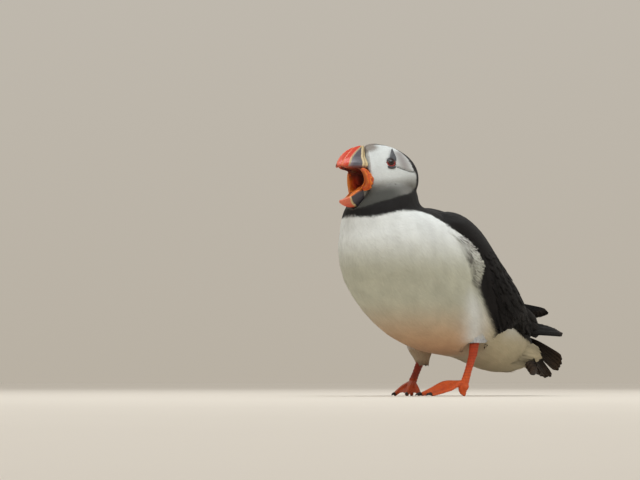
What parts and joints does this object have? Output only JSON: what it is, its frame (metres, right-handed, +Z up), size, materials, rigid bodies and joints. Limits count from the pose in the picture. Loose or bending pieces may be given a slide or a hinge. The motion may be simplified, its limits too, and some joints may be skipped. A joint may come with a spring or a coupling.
{
  "type": "atlantic puffin model",
  "caption": "Life-size still model of an Atlantic puffin standing upright on both webbed feet and calling with its bill wide open.",
  "frame": {"origin": "middle of the bird's bounding box at floor level, a little behind the feet", "axes": "the bird faces -Y, its left side is +X, and +Z is up"},
  "size_m": [0.1048, 0.2333, 0.2147],
  "materials": {
    "feathers_black": "soft matt black plumage with a slight brown sheen",
    "feathers_white": "dense soft white plumage",
    "feathers_face": "short dense grey-white plumage",
    "horn_red": "smooth keratin, satin gloss",
    "horn_grey": "smooth blue-grey horn",
    "gape_orange": "wrinkled bare skin, yellow-orange",
    "skin_orange": "scaly orange-red leg and web skin, slightly moist",
    "mouth_red": "moist dark red mouth lining",
    "claw_black": "black keratin, slight gloss",
    "eye_dark": "dark brown, wet gloss, opaque"
  },
  "bodies": {
    "root": {"trunk": "feathers_white", "neck": "feathers_black", "head": "feathers_face", "bill_upper": "horn_red", "bill_lower": "horn_red", "tongue": "mouth_red", "gape_left": "gape_orange", "gape_right": "gape_orange", "eye_left": "eye_dark", "eye_right": "eye_dark", "eyeplate_upper_left": "horn_grey", "eyeplate_upper_right": "horn_grey", "eyeplate_lower_left": "horn_grey", "eyeplate_lower_right": "horn_grey", "wing_left": "feathers_black", "wing_right": "feathers_black", "flight_left": "feathers_black", "flight_right": "feathers_black", "tail": "feathers_black", "thigh_left": "feathers_white", "thigh_right": "feathers_white", "shank_left": "skin_orange", "shank_right": "skin_orange", "foot_left": "skin_orange", "foot_right": "skin_orange", "claw_inner_left": "claw_black", "claw_inner_right": "claw_black", "claw_middle_left": "claw_black", "claw_middle_right": "claw_black", "claw_outer_left": "claw_black", "claw_outer_right": "claw_black"}
  },
  "joints": []
}
